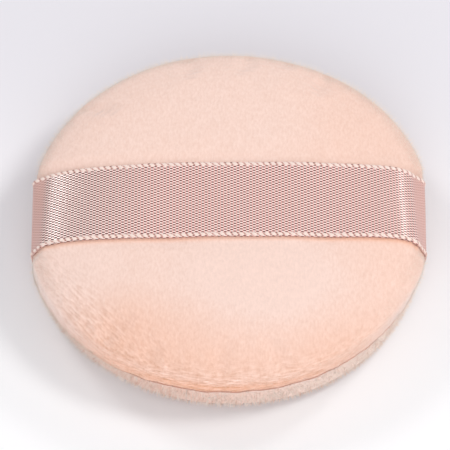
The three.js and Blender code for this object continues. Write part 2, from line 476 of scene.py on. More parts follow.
pileLook = {
    "top": {"Deep": rgba(242, 166, 118), "Pale": rgba(247, 217, 205)},
    "bottom": {"Deep": rgba(224, 168, 146), "Pale": rgba(246, 221, 209)},
    "topFibre": {"Deep": rgba(251, 208, 184), "Pale": rgba(255, 238, 229)},
    "lowFibre": {"Deep": rgba(226, 182, 161), "Pale": rgba(255, 238, 227)},
    # the rim's fibres are painted paler than the crown's: painted sheen of the fringe
    "rimFibreSheen": {"Deep": rgba(255, 222, 200), "Pale": rgba(255, 240, 228)},
    # size of each swing, and its noise per metre
    "grain": {"size": 0.62, "scale": 2300.0, "stretch": (1, 2.2, 1.6)},
    "streak": {"size": 1.6, "scale": 2300.0, "stretch": (4.5, 1, 1.5), "turn": math.radians(-48)},
    "line": {"size": 3.2, "scale": 3600.0, "stretch": (6, 6, 1)},
    "patch": {"size": 0.09, "scale": 70.0},
    "toneSwing": 0.45,
    "dimSwing": 0.3,
    # a fibre is painted deeper towards its root: painted shade down in the pile
    "tipLift": 0.5,            # a fibre's tip is paler than its root by this share
    "rootShift": -0.1,
}


def makePileGrain():
    # Tone picks between deep and pale. Grain along the pile, brushed streaks, lines along the rim and wide
    # soft patches shift the tone, the streaks and lines by their masks. The same swings dim the colour.
    inputs = {"Place": "Vector", "Tone": "Float", "Brushed": "Float", "Lined": "Float",
              "Deep": "Color", "Pale": "Color"}
    group, given, out = newGroup("pileGrain", inputs, {"Color": "Color", "Height": "Float"})
    grain, streak, line, patch = [noiseSwing(group, given["Place"], **pileLook[key])
                                  for key in ("grain", "streak", "line", "patch")]
    swing = plus(group, grain, times(group, streak, given["Brushed"]))
    swing = plus(group, swing, times(group, line, given["Lined"]))
    tone = plus(group, given["Tone"], timesPlus(group, swing, pileLook["toneSwing"], patch))
    color = mixColors(group, tone, given["Deep"], given["Pale"])
    dim = timesPlus(group, swing, pileLook["dimSwing"], 1.0)
    group.links.new(shadeBy(group, color, dim), out["Color"])
    group.links.new(swing, out["Height"])
    return group


def makeFibreTone():
    # a fibre is deep at its root and paler at its tip, painted shade down in the pile; its place along the
    # map gives its own tone
    group, given, out = newGroup("fibreTone", {"Map": "Vector", "Deep": "Color", "Pale": "Color"},
                                 {"Color": "Color"})
    own, upFibre = splitMap(group, given["Map"])
    tone = plus(group, own, timesPlus(group, upFibre, pileLook["tipLift"], pileLook["rootShift"]))
    group.links.new(mixColors(group, tone, given["Deep"], given["Pale"]), out["Color"])
    return group


def heightGroup(name, counts, height):
    # a height made from a map and some counts, with a colour that goes from deep in the hollows, painted
    # shade, to pale on the crests
    inputs = {"Map": "Vector", **dict.fromkeys(counts, "Float"), "Deep": "Color", "Pale": "Color"}
    group, given, out = newGroup(name, inputs, {"Color": "Color", "Height": "Float"})
    along, around = splitMap(group, given["Map"])
    level = height(group, along, around, *[given[count] for count in counts])
    group.links.new(mixColors(group, level, given["Deep"], given["Pale"]), out["Color"])
    group.links.new(level, out["Height"])
    return group


def turnCosine(tree, turns):
    # cosine of a number of whole turns
    return mathNode(tree, "COSINE", times(tree, turns, 2 * math.pi))


def plyHeight(tree, along, around, turns, plies):
    # plies wound round each other: a cosine of the way round less the turns along, once for each ply
    wound = mathNode(tree, "SUBTRACT", around, times(tree, along, turns))
    return timesPlus(tree, turnCosine(tree, times(tree, wound, plies)), 0.5, 0.5)


def beadHeight(tree, along, around, turns, slant):
    # loops of weft along an edge: one bead a turn, slanted by a cosine round the section
    run = times(tree, times(tree, along, turns), 2 * math.pi)
    phase = plus(tree, run, times(tree, turnCosine(tree, around), slant))
    return mapRange(tree, mathNode(tree, "COSINE", phase), (-0.95, -0.2))


pileGrain = makePileGrain()
fibreTone = makeFibreTone()
plyTwist = heightGroup("plyTwist", ("Turns", "Plies"), plyHeight)
beadRow = heightGroup("beadRow", ("Turns", "Slant"), beadHeight)


def velourMaterial(name, colors):
    # the grain of the pile, by the masks at the points of the piece
    material, tree, shader = newMaterial(name, roughness=0.95, sheen=0.5, sheenRoughness=0.5, specular=0.1)
    masks = {socket: addNode(tree, "Attribute", attribute_name=socket.lower()).outputs["Fac"]
             for socket in ("Tone", "Brushed", "Lined")}
    grain = placeGroup(tree, pileGrain, Place=objectPlace(tree), **colors, **masks)
    feedShader(tree, shader, grain["Color"], bumpFrom(tree, grain["Height"], distance=0.0001, strength=0.5))
    return material


def napMaterial(name, colors):
    # the tone of each fibre
    material, tree, shader = newMaterial(name, roughness=0.9, sheen=0.4, sheenRoughness=0.5, specular=0.1)
    feedShader(tree, shader, placeGroup(tree, fibreTone, Map=gridPlace(tree), **colors)["Color"])
    return material


satinLook = {
    # near-white floats: painted highlight
    "float": rgba(255, 238, 231),
    "ground": rgba(234, 161, 153),
    "strand": rgba(240, 175, 166),
    # near-black gaps between the floats: painted shade
    "gap": rgba(74, 26, 21),
    "side": rgba(216, 167, 156),
    "strands": {"scale": 40.0, "detail": 3.0, "stretch": (2, 0.11, 1)},
    "uneven": {"size": 1.3, "scale": 90.0, "stretch": (0.35, 0.22, 1)},
    "bendGlintFrom": (24.0, 2.0),     # way from the left bend over which the painted highlight on the floats and painted shade in the gaps grow
    "opened": (1.0, 2.2),
    "floatSwing": (-0.1, 0.9),
    "gapSwing": (-0.15, -1.0),
    "glossSwing": (-0.3, 0.3),
    "bendSwing": (-0.3, 1.2),      # past a bend, where the colour goes over to that of the side
    "sideShare": 0.7,
    "roughness": 0.17,
    "dull": 0.77,                  # roughness off the floats
}


def satinMaterial():
    # Two crossing waves on the ribbon's own map give floats in brick order: bright on a float as painted
    # highlight, dark in the gap beside it as painted shade, dusty pink between them, and plainer down the
    # sides
    material, tree, shader = newMaterial("satin", specular=0.9)
    along, around = splitMap(tree, gridPlace(tree))
    run = times(tree, along, ribbonLength)
    drifted = timesPlus(tree, run, ribbon["skew"], times(tree, around, -ribbonGirth))
    alongTurn = times(tree, run, 2 * math.pi / ribbon["floatPitch"])
    acrossTurn = times(tree, drifted, 2 * math.pi / ribbon["rowPair"])
    first = mathNode(tree, "COSINE", mathNode(tree, "SUBTRACT", alongTurn, acrossTurn))
    second = mathNode(tree, "COSINE", plus(tree, alongTurn, acrossTurn))
    uneven = noiseSwing(tree, gridPlace(tree), **satinLook["uneven"])
    fromBend = mathNode(tree, "SUBTRACT", run, leftTurn)
    # near the left bend the swing grows: more painted highlight on the floats and painted shade in the gaps
    opened = mapRange(tree, fromBend, satinLook["bendGlintFrom"], satinLook["opened"])
    swing = times(tree, plus(tree, plus(tree, first, second), uneven), opened)
    strands = noise(tree, gridPlace(tree), **satinLook["strands"])
    color = mixColors(tree, strands, satinLook["ground"], satinLook["strand"])
    # floats painted near white as highlight, gaps near black as shade
    color = mixColors(tree, mapRange(tree, swing, satinLook["floatSwing"]), color, satinLook["float"])
    color = mixColors(tree, mapRange(tree, swing, satinLook["gapSwing"]), color, satinLook["gap"])
    pastLeft = mathNode(tree, "SUBTRACT", leftTurn, run)
    pastRight = mathNode(tree, "SUBTRACT", run, rightTurn)
    down = [mapRange(tree, past, satinLook["bendSwing"], (0.0, satinLook["sideShare"]))
            for past in (pastLeft, pastRight)]
    feedShader(tree, shader, mixColors(tree, plus(tree, *down), color, satinLook["side"]))
    rough = mapRange(tree, swing, satinLook["glossSwing"], (satinLook["dull"], satinLook["roughness"]))
    tree.links.new(rough, shader.inputs["Roughness"])
    return material


def threadMaterial():
    # two plies, painted deeper in the grooves between them as shade, speckled by fine noise
    material, tree, shader = newMaterial("sewingThread", roughness=0.5, sheen=0.15, sheenRoughness=0.35,
                                         specular=0.4)
    ply = placeGroup(tree, plyTwist, Map=gridPlace(tree), **sewing["look"])
    shade = timesPlus(tree, noise(tree, objectPlace(tree), scale=2600.0), 0.4, 0.8)
    feedShader(tree, shader, shadeBy(tree, ply["Color"], shade),
               bumpFrom(tree, ply["Height"], distance=0.00004, strength=0.5))
    return material


def edgeMaterial():
    # beads along the ribbon's edge, painted deeper between them as shade
    material, tree, shader = newMaterial("ribbonEdge", roughness=0.4, specular=0.5)
    bead = placeGroup(tree, beadRow, Map=gridPlace(tree), Turns=ribbonLength / edgeRow["pitch"],
                      Slant=edgeRow["slant"], **edgeRow["look"])
    feedShader(tree, shader, bead["Color"], bumpFrom(tree, bead["Height"], distance=0.00005, strength=0.4))
    return material


def foamMaterial():
    # open cells: pits painted dark as shade where a cell's middle lies near the surface
    material, tree, shader = newMaterial("foam", roughness=0.92, specular=0.2)
    cells = addNode(tree, "TexVoronoi", feature="F1")
    tree.links.new(objectPlace(tree), cells.inputs["Vector"])
    cells.inputs["Scale"].default_value = foamSet["cellScale"]
    wall = mapRange(tree, cells.outputs["Distance"], foamSet["wallRange"])
    feedShader(tree, shader, mixColors(tree, wall, foamSet["pitShade"], foamSet["wall"]),
               bumpFrom(tree, wall, distance=0.0002, strength=0.7))
    return material


# Shape of the pad

def rimShift(angle):
    # how far the rim stands out from a circle: a constant and slow waves, less a soft dip at the front
    slow = sum(size * np.cos(count * angle - math.radians(turn)) for count, size, turn in pad["rimWaves"])
    depth, turn, spread = pad["frontFlat"]
    return pad["rimGrowth"] + slow - depth * bell(np.degrees(angle) - turn, spread)


def underRibbon(points, margin, power):
    # 1 under the ribbon, with a bell across it that is as wide as the ribbon and a margin
    return bell(2 * points[..., 1], ribbon["width"] + margin, power)


def shapeRim(points):
    # A sewn disc isn't quite round: the rim's shift moves each ring out by the cube of its radius share.
    # The taut ribbon then draws both sides in, less so under the seam, and presses a shallow trough.
    angle, radius = polar(points)
    height = points[..., 2]
    growth = (radius / pad["radius"]) ** 3 * rimShift(angle) / pad["radius"]
    shaped = points.copy()
    shaped[..., :2] *= (1 + growth)[..., None]
    across = underRibbon(shaped, 0, 4)
    reach = np.abs(shaped[..., 0])
    rim = pad["radius"]
    outward = smoothstep(reach, rim - ribbon["drawReach"], rim - 2 * pad["clothThickness"])
    drawn = atLeast(ribbon["drawnBelow"], smoothstep(height, pad["lowerRingHeight"], seamHeight))
    shaped[..., 0] -= np.sign(shaped[..., 0]) * ribbon["drawIn"] * across * outward * drawn
    upward = smoothstep(height, seamHeight + ribbon["troughRise"], crownHeight)
    shaped[..., 2] -= ribbon["trough"] * across * upward
    return shaped


def crownLine(count, inset):
    # superellipse quarter from the middle of the top to the widest ring, moved in square to itself
    angle = np.linspace(np.pi / 2, 0, count)
    power = 2 / pad["crownFullness"]
    out = np.cos(angle)
    up = np.sin(angle)
    out[0] = 0
    line = np.stack([pad["radius"] * out ** power, shoulderHeight + pad["crownRise"] * up ** power], axis=1)
    normal = np.stack([out ** (2 - power) / pad["radius"], up ** (2 - power) / pad["crownRise"]], axis=1)
    return line - inset * unit(normal)


def foldLine(ringRadius, ringHeight, faceHeight, inset):
    # superellipse quarter from a cover's widest ring to its fold at the seam
    angle = np.linspace(0, np.pi / 2, 200)
    power = 2 / pad["foldFullness"]
    out = np.cos(angle)
    along = np.sin(angle)
    out[-1] = 0
    curl = ringRadius - foldRadius
    drop = faceHeight - ringHeight
    line = np.stack([foldRadius + curl * out ** power, ringHeight + drop * along ** power], axis=1)
    return line - inset * unit(np.stack([out ** (2 - power) / curl, along ** (2 - power) / drop], axis=1))


def lowerLine(count, inset):
    # flat underside, then a quarter ellipse up to the lower ring
    angle = np.linspace(0, np.pi / 2, count)
    width = lowerRadius - pad["baseRadius"]
    rise = pad["lowerRingHeight"]
    line = np.stack([pad["baseRadius"] + width * np.sin(angle), rise * (1 - np.cos(angle))], axis=1)
    line = line - inset * unit(np.stack([np.sin(angle) / width, -np.cos(angle) / rise], axis=1))
    return np.concatenate([[[0, inset]], line])


def topLine(inset):
    # crown and fold of the top cover
    face = seamHeight + pad["faceGap"] / 2 - inset
    fold = foldLine(pad["radius"], shoulderHeight, face, inset)
    return np.concatenate([crownLine(900, inset), fold[1:]])


def bottomLine(inset):
    # underside and fold of the bottom cover
    face = seamHeight - pad["faceGap"] / 2 + inset
    fold = foldLine(lowerRadius, pad["lowerRingHeight"], face, inset)
    return np.concatenate([lowerLine(300, inset), fold[1:]])


def turnLine(line, turns):
    # carries (radius, height) points round the Z axis
    angle = np.arange(turns) * 2 * np.pi / turns
    radius = line[:, :1]
    height = np.repeat(line[:, 1:], turns, axis=1)
    return np.stack([radius * np.cos(angle), radius * np.sin(angle), height], axis=-1)


# Cloth simulation: the sewn pad is blown up a little while the seam, the ribbon's track and the
# underside hold it, and the moves of its points are carried to the fine covers

swell = {
    "room": 0.25,            # the cloth starts this far inside and swells out
    "turns": 120,
    "topRings": 30,
    "bottomRings": 18,
    "unitsPerMillimetre": 0.01,
    "seamHold": 0.8,         # height over which the seam's hold fades
    "seamRadius": 34,
    "trackHold": 0.9,
    "tableHeight": 0.05,
    "holdSteps": 20,
    "frames": 20,
    "mostMove": 0.7,
    "cloth": {"quality": 7, "mass": 0.3, "tension_stiffness": 30, "compression_stiffness": 30,
              "shear_stiffness": 12, "bending_stiffness": 3, "use_pressure": True,
              "uniform_pressure_force": 3.0, "vertex_group_mass": "held"},
}
coverInset = pad["pileDepth"] + swell["room"]


def holdOf(points):
    # the seam and the underside hold the cloth fully, the ribbon's track nearly so
    onRim = polar(points)[1] > swell["seamRadius"]
    seam = bell(points[:, 2] - seamHeight, swell["seamHold"]) * onRim
    track = swell["trackHold"] * underRibbon(points, 0, 4) * (points[:, 2] > seamHeight)
    table = (points[:, 2] < coverInset + swell["tableHeight"]) * 1.0
    return np.clip(np.maximum(np.maximum(seam, track), table), 0, 1)


def settleCloth(points, faces):
    # where the points lie after the pressure has blown the cloth up
    scale = swell["unitsPerMillimetre"]
    mesh = bpy.data.meshes.new("swellingCloth")
    mesh.from_pydata((points * scale).tolist(), [], faces)
    cloth = bpy.data.objects.new("swellingCloth", mesh)
    scene.collection.objects.link(cloth)
    group = cloth.vertex_groups.new(name="held")
    steps = np.round(holdOf(points) * swell["holdSteps"])
    for step in range(swell["holdSteps"] + 1):
        group.add(np.flatnonzero(steps == step).tolist(), step / swell["holdSteps"], "REPLACE")
    modifier = cloth.modifiers.new("cloth", "CLOTH")
    for key, value in swell["cloth"].items():
        setattr(modifier.settings, key, value)
    modifier.settings.effector_weights.gravity = 0
    modifier.point_cache.frame_start = 1
    modifier.point_cache.frame_end = swell["frames"]
    for step in range(1, swell["frames"] + 1):
        scene.frame_set(step)
    shaped = cloth.evaluated_get(bpy.context.evaluated_depsgraph_get()).to_mesh()
    final = np.zeros(len(shaped.vertices) * 3)
    shaped.vertices.foreach_get("co", final)
    bpy.data.objects.remove(cloth)
    scene.frame_set(1)
    return final.reshape(-1, 3) / scale


def swellPad():
    # returns how far each point of the coarse top and bottom moves, as (ring, turn, xyz)
    turns = swell["turns"]
    top = shapeRim(turnLine(evenly(topLine(coverInset), swell["topRings"] + 1), turns))
    bottom = shapeRim(turnLine(evenly(bottomLine(coverInset), swell["bottomRings"] + 1), turns))
    rings = np.concatenate([top[1:], bottom[:0:-1]])
    points = np.concatenate([rings.reshape(-1, 3), top[:1, 0], bottom[:1, 0]])
    quads, fans = ringFaces(len(rings), turns)
    move = settleCloth(points, quads.tolist() + fans.tolist()) - points
    size = np.linalg.norm(move, axis=1, keepdims=True)
    move *= np.minimum(1, swell["mostMove"] / np.maximum(size, 1e-9))
    print("cloth settled: moves up to %.2f mm, mean %.2f mm" % (size.max(), size.mean()))
    inRings = move[:-2].reshape(-1, turns, 3)
    middles = [np.broadcast_to(pole, inRings[:1].shape) for pole in move[-2:]]
    topMove = np.concatenate([middles[0], inRings[:swell["topRings"]]])
    bottomMove = np.concatenate([middles[1], inRings[swell["topRings"]:][::-1]])
    return topMove, bottomMove


def carryMove(move, share, turns):
    # a coarse field of moves at new shares along the profile, and at more turns by its Fourier series
    spectrum = np.fft.rfft(move, axis=1)
    finer = np.fft.irfft(spectrum, n=turns, axis=1) * (turns / move.shape[1])
    at = share * (move.shape[0] - 1)
    low = np.clip(np.floor(at).astype(int), 0, move.shape[0] - 2)
    part = smoothstep(at - low, 0, 1)[:, None, None]
    return finer[low] * (1 - part) + finer[low + 1] * part


topMove, bottomMove = swellPad()


# Line of the ribbon, which the top cover lies under

def ribbonPath(count):
    # (x, z) line of the ribbon's middle: out of the left seam, up the side, over the crown in a wide arc
    # and down into the right seam. A running mean along the evenly stepped line rounds the bends.
    x = np.linspace(ribbon["leftCorner"][0], ribbon["rightCorner"][0], 400)[1:-1]
    away = x - ribbon["peak"][0]
    height = ribbon["peak"][1] - ribbon["drop"] * away ** 2
    for side in ("left", "right"):
        corner = ribbon[side + "Corner"]
        reach = corner[0] - ribbon["peak"][0]
        last = ribbon["peak"][1] - ribbon["drop"] * reach ** 2 - corner[1]
        height -= last * np.clip(away / reach, 0, 1) ** ribbon[side + "Sharpness"]
    entry = foldRadius - ribbon["drawIn"] + ribbon["entryRoom"]
    left = entry + rimShift(np.pi)
    right = entry + rimShift(0)
    inward, upward = ribbon["entryBend"]
    tail = ribbon["tailReach"]
    outOfSeam = [[-tail, seamHeight], [inward - left, seamHeight], [-left, seamHeight + upward]]
    intoSeam = [[right, seamHeight + upward], [right - inward, seamHeight], [tail, seamHeight]]
    sides = [[ribbon["leftFoot"], ribbon["leftCorner"]], [ribbon["rightCorner"], ribbon["rightFoot"]]]
    arc = np.stack([x, height], axis=1)
    whole = evenly(np.concatenate([outOfSeam, sides[0], arc, sides[1], intoSeam]), 4000)
    window = np.hanning(ribbon["rounding"])
    held = np.pad(whole, ((len(window) // 2,) * 2, (0, 0)), "edge")
    rounded = [np.convolve(axis, window / window.sum(), "valid") for axis in held.T]
    return evenly(np.stack(rounded, axis=1), count)


def lineNormals(line):
    # upward or outward normals of an (x, z) line that runs along +X over the crown
    run = unit(np.gradient(line, axis=0))
    return np.stack([-run[:, 1], run[:, 0]], axis=1)


ribbonLine = ribbonPath(ribbon["alongSteps"])
ribbonLength = lineLength(ribbonLine)
ribbonGirth = 2 * (ribbon["width"] + ribbon["thickness"])


def runTo(corner):
    # way along the ribbon to where its line passes a corner
    nearest = np.linalg.norm(ribbonLine - ribbon[corner], axis=1).argmin()
    return nearest * ribbonLength / (len(ribbonLine) - 1)


leftTurn = runTo("leftCorner")
rightTurn = runTo("rightCorner")


def ribbonBow(run, across):
    # slight waves of the free span, which die out towards the bends, where the ribbon tilts to the back
    fromMiddle = np.abs(run - ribbonLength / 2)
    span = bell(fromMiddle, ribbon["freeReach"], 8)
    tilt = smoothstep(fromMiddle, *ribbon["tiltGrows"]) * smoothstep(fromMiddle, *ribbon["tiltFades"])
    bow = ribbon["bowHeight"] * waves(run, across * 0.6, ribbon["bowLength"], 51) * span
    return bow - ribbon["bendTilt"] * tilt * across / 9


def tuckUnder(points):
    # Each point finds the nearest place on the ribbon's line. Where the cloth stands higher there than the
    # ribbon's underside, it goes down along the line's normal. Along the edges it comes up to the underside.
    half = ribbon["width"] / 2
    beside = np.abs(points[..., 1])
    near = (beside < half + tuck["edgeReach"]) & (points[..., 2] > seamHeight + tuck["lowest"])
    line = ribbonLine[::2]
    run = np.linspace(0, ribbonLength, len(ribbonLine))[::2]
    spot = points[near]
    nearest = np.hypot(spot[:, :1] - line[:, 0], spot[:, 2:] - line[:, 1]).argmin(1)
    normal = lineNormals(ribbonLine)[::2][nearest]
    over = ((spot[:, [0, 2]] - line[nearest]) * normal).sum(1)
    bow = ribbonBow(run[nearest], np.clip(spot[:, 1], -half, half))
    excess = over - bow + ribbon["thickness"] / 2 + tuck["clearance"]
    pastEdge = beside[near] - half
    press = np.maximum(excess, 0) * smoothstep(pastEdge, *tuck["pressFade"])
    alongEdge = smoothstep(pastEdge, *tuck["edgeInner"])
    alongEdge *= smoothstep(pastEdge, tuck["edgeReach"], tuck["edgeOuter"])
    level = smoothstep(normal[:, 1], *tuck["levelShare"])
    swellUp = np.clip(-excess, 0, tuck["edgeSwell"]) * alongEdge * level
    spot[:, [0, 2]] += (swellUp - press)[:, None] * normal
    tucked = points.copy()
    tucked[near] = spot
    return tucked


# Covers

topNapSet = {
    "clumpHeight": 0.025,
    "clumpAcross": 0.9,
    "clumpAlong": 2.6,
    "clumpTurn": math.radians(-137),    # the ruffled band lies along the rim at the left front
    "clumpSpread": 0.5,
    "clumpRadius": 38.2,
    "clumpWidth": 4.6,
    "plainShare": 0.03,
    "linedSpread": 0.75,
    "linedHeight": (3, -2.5),           # from above the seam to below the crown
    "fullPlace": (31.0, -12.0),         # fuller under the ribbon's right front
    "fullReach": 10.0,
    "fullHeight": 0.9,
    "lumpHeight": 0.025,
    "lumpPitch": 11.0,
    "foldFade": 0.1,
}
topShade = {
    "base": 0.64,
    # paler to the back: painted sheen
    "backSheen": 0.3,
    "backFrom": (-38, -18),
    # deeper to the right: painted shade
    "rightShade": 0.12,
    "rightFrom": (5, 30),
    # size, x, y and square of the reach
    "patches": ((0.22, 8, -20, 200), (0.06, -28, -20, 200), (-0.16, -21, -27, 70)),
    # deeper along the ribbon's front edge: painted shade under it
    "ribbonEdgeShade": (0.35, 0.3, 0.6),   # size, way from the edge, width
    # deeper low on the rim, most at the front: painted shade
    "rimShade": 0.03,
    "frontShade": 0.37,
    "frontSpread": 0.55,
    "rimHeight": (4.5, 1.5),
    # deepest in the bare fold: painted shade in the seam
    "foldShade": 0.9,
    "foldHeight": (0.6, 0.15),
}
lowShade = {
    "base": 0.52,
    # paler to the right: painted light
    "rightLift": 0.45,
    "rightFrom": (-22, 30),
    "hiddenLift": 0.12,
    # deeper at the shown fold: painted shade in the seam
    "foldShade": 0.8,
    "foldHeight": (-0.6, -0.2),
    # deeper at the foot where the seam shows: painted shade at the table
    "footShade": 0.45,
    "footHeight": (2.6, 1.0),
    "tuftHeight": 0.03,
    "least": 0.3,                       # the cloth under the pile stays this high
}
seamWander = {
    "tilt": 0.45,            # the seam sits lower at the left back and higher at the right front
    "tiltTurn": math.radians(-45),
    "jitter": 0.1,
    "jitterWaves": (9, 46, 5),
    "pucker": 0.03,
    "puckerWaves": ((24, 70, 6), (24, 70, 8)),      # of the top and of the bottom cover
    "spread": 2.4,
    "inward": (30, 36),
    "rim": (38.3, 38.9),
    "side": (33, 38),
    "lowerShift": 1.5,       # the bottom cover tucks under, least round the turn where the seam shows
    "lowerTuck": (1.25, -0.6),
    "lowerFade": (-1.6, -0.3),
    "shownTurn": math.radians(-75),
    "shownFrom": (0.6, 0.85),
    "closeUp": 0.42,         # elsewhere the folds lie flush and close by this share of the gap
    "closeReach": 0.7,
    "flushReach": 1.2,
    "openUp": 0.12,          # where it shows the folds part by this much each
    "openReach": 0.5,
    "tufts": (20, 80, 12),   # waves round the rim, which set where tufts cross the seam
    "tuftFrom": (-0.9, 0.3),
    "tuftLeast": 0.2,
}


def seamShown(angle):
    # 1 where the seam lies open at the front, 0 where the pile hides it
    return smoothstep(np.cos(angle - seamWander["shownTurn"]), *seamWander["shownFrom"])


def seamBare(angle):
    # 1 where the shown seam lies bare, less where tufts cross it
    tufts = smoothstep(ringWaves(angle, *seamWander["tufts"]), *seamWander["tuftFrom"])
    return seamShown(angle) * atLeast(seamWander["tuftLeast"], tufts)


def foldInset(away):
    # share of the seam's inset left at a height above the fold, by the superellipse of the fold
    share = 1 - np.clip(away / (pad["shoulderRise"] - pad["faceGap"] / 2), 0, 1)
    return 1 - (1 - share ** pad["foldFullness"]) ** (1 / pad["foldFullness"])


def wander(points, lower):
    # Moves the seam up and down round the rim and puckers the cloth beside it. Where the pile hides the
    # seam, the folds come out flush and close up, where it shows they part, and the lower cover tucks under.
    angle, radius = polar(points)
    above = points[..., 2] - seamHeight
    near = bell(above, seamWander["spread"]) * smoothstep(radius, *seamWander["inward"])
    facing = np.cos(angle - seamWander["tiltTurn"])
    jitter = seamWander["jitter"] * ringWaves(angle, *seamWander["jitterWaves"])
    lift = near * (seamWander["tilt"] * facing + jitter)
    puff = near * seamWander["pucker"] * ringWaves(angle, *seamWander["puckerWaves"][lower])
    onRim = smoothstep(radius, *seamWander["rim"])
    shown = seamShown(angle)
    hidden = (1 - shown) * (1 - underRibbon(points, tuck["seamMargin"], 8)) * onRim
    away = np.maximum(np.abs(above) - pad["faceGap"] / 2, 0)
    short = bell(away, seamWander["flushReach"]) if lower else foldInset(away)
    puff += (pad["seamInset"] - coverInset) * short * hidden
    closing = seamWander["closeUp"] * pad["faceGap"] * bell(away, seamWander["closeReach"]) * hidden
    closing -= seamWander["openUp"] * shown * bell(away, seamWander["openReach"]) * onRim
    lift += closing if lower else -closing
    if lower:
        below = 1 - smoothstep(above, *seamWander["lowerFade"])
        turnIn, most = seamWander["lowerTuck"]
        tuckIn = np.maximum(np.cos(angle - seamWander["shownTurn"]) - turnIn, most)
        puff += smoothstep(radius, *seamWander["side"]) * below * seamWander["lowerShift"] * tuckIn
    return points + np.stack([puff * np.cos(angle), puff * np.sin(angle), lift], axis=-1)


def ribbonRoom(points, side):
    # the folded edges open where the ribbon's ends run into the seam
    atEnds = np.abs(points[..., 0]) > tuck["seamReach"]
    near = bell(points[..., 2] - seamHeight, tuck["seamFade"]) * atEnds
    opened = points.copy()
    opened[..., 2] += side * tuck["seamOpening"] * underRibbon(points, tuck["seamMargin"], 8) * near
    return opened


def brushedShare(points):
    # how much the pile is ruffled: a soft band along the rim, round the turn given
    angle, radius = polar(points)
    along = bell(angle - topNapSet["clumpTurn"], topNapSet["clumpSpread"])
    inward = bell(radius - topNapSet["clumpRadius"], topNapSet["clumpWidth"])
    return atLeast(topNapSet["plainShare"], along * inward)


def linedShare(points):
    # where the steep front rim opens the pile in fine lines
    low, high = topNapSet["linedHeight"]
    steep = 1 - smoothstep(points[..., 2], seamHeight + low, crownHeight + high)
    return bell(polar(points)[0] + np.pi / 2, topNapSet["linedSpread"]) * steep


def topPileHeight(points):
    # soft lumps all over, brushed clumps at the left front and one fuller place beside the ribbon
    x = points[..., 0]
    y = points[..., 1]
    turn = pileLook["streak"]["turn"]
    along = x * math.cos(turn) + y * math.sin(turn)
    across = -x * math.sin(turn) + y * math.cos(turn)
    squeeze = topNapSet["clumpAcross"] / topNapSet["clumpAlong"]
    clumps = waves(across, along * squeeze, topNapSet["clumpAcross"], 21) * brushedShare(points)
    lumps = waves(x, y, topNapSet["lumpPitch"], 23)
    placeX, placeY = topNapSet["fullPlace"]
    full = bell(np.hypot(x - placeX, y - placeY), topNapSet["fullReach"])
    return (topNapSet["clumpHeight"] * clumps + topNapSet["lumpHeight"] * lumps
            + topNapSet["fullHeight"] * full)


def topTone(points):
    # paler to the back, which is painted sheen, and in patches before the ribbon; deeper to the right,
    # beside the ribbon and towards the front rim, and deepest in the fold, which is all painted shade
    x = points[..., 0]
    y = points[..., 1]
    above = points[..., 2] - seamHeight
    angle = polar(points)[0]
    # paler to the back: painted sheen
    tone = topShade["base"] + topShade["backSheen"] * smoothstep(y + 0.05 * x, *topShade["backFrom"])
    # deeper to the right: painted shade
    tone -= topShade["rightShade"] * smoothstep(x, *topShade["rightFrom"])
    for size, placeX, placeY, squareReach in topShade["patches"]:
        tone += size * bell(np.hypot(x - placeX, y - placeY), math.sqrt(squareReach))
    # deeper along the ribbon's front edge: painted shade under it
    size, offset, width = topShade["ribbonEdgeShade"]
    tone -= size * bell(y + ribbon["width"] / 2 + offset, width)
    # deeper low on the rim, most at the front: painted shade
    before = bell(angle + np.pi / 2, topShade["frontSpread"])
    deeper = topShade["rimShade"] + topShade["frontShade"] * before
    tone -= deeper * smoothstep(above, *topShade["rimHeight"])
    # deepest in the fold where the seam lies bare: painted shade
    return tone * (1 - topShade["foldShade"] * seamBare(angle) * smoothstep(above, *topShade["foldHeight"]))


def allowanceLine(side, inner, lining):
    # from the fold in along the face of the seam, round the allowance's edge and back out to the lining
    face = seamHeight + side * (pad["faceGap"] / 2 + 0.02)
    back = seamHeight + side * (pad["faceGap"] / 2 + pad["allowanceThickness"])
    turned = [[allowanceRadius + 2.6, face], [allowanceRadius, face],
              [allowanceRadius, back], [inner, back]]
    return np.concatenate([turned, lining[side * (lining[:, 1] - back) > 0.3]])


def startCover(outer, inside, move, lower):
    # rings of a cover's outer line, with the cloth's moves carried to them, and of the line inside it
    outer[0, 0] = inside[-1, 0] = pad["poleRadius"]
    step = np.linalg.norm(np.diff(outer, axis=0), axis=1)
    share = np.concatenate([[0], np.cumsum(step)]) / step.sum()
    shell = shapeRim(turnLine(outer, pad["turns"])) + carryMove(move, share, pad["turns"])
    within = shapeRim(turnLine(inside, pad["turns"]))
    return wander(shell, lower), wander(within, lower), share


def finishCover(name, material, shell, within, side, tone, brushed, lined):
    # opens the rings for the ribbon's ends and skins them, with the pile's masks on the outer ones
    rings = ribbonRoom(np.concatenate([shell, within]), side)
    piece = ringSkin(name, rings, material)
    plain = np.zeros(within.shape[:2])
    # the tone carries the cover's own tone and its painted sheen and shade
    setMask(piece, "tone", np.concatenate([tone, plain + 0.5]))
    setMask(piece, "brushed", np.concatenate([brushed, plain]))
    setMask(piece, "lined", np.concatenate([lined, plain]))
    return piece, rings[:len(shell)], tone


def makeTopCover():
    # profile from the middle of the crown over the rim to the fold, in along the allowance and back inside
    deep = pad["clothThickness"]
    outer = evenly(topLine(coverInset), pad["topRings"], pad["topCrowding"])
    lining = evenly(crownLine(300, deep + pad["liningRoom"])[::-1], 14)[1:]
    inside = allowanceLine(1, pad["radius"] - deep - pad["seamInset"] / 2 - 0.2, lining)
    shell, within, share = startCover(outer, inside, topMove, False)
    height = topPileHeight(shell) * smoothstep(1 - share, 0, topNapSet["foldFade"])[:, None]
    shell = tuckUnder(shell + gridNormals(shell) * height[..., None])
    return finishCover("topCover", velourMaterial("velour", pileLook["top"]), shell, within, 1,
                       topTone(shell), brushedShare(shell), linedShare(shell))


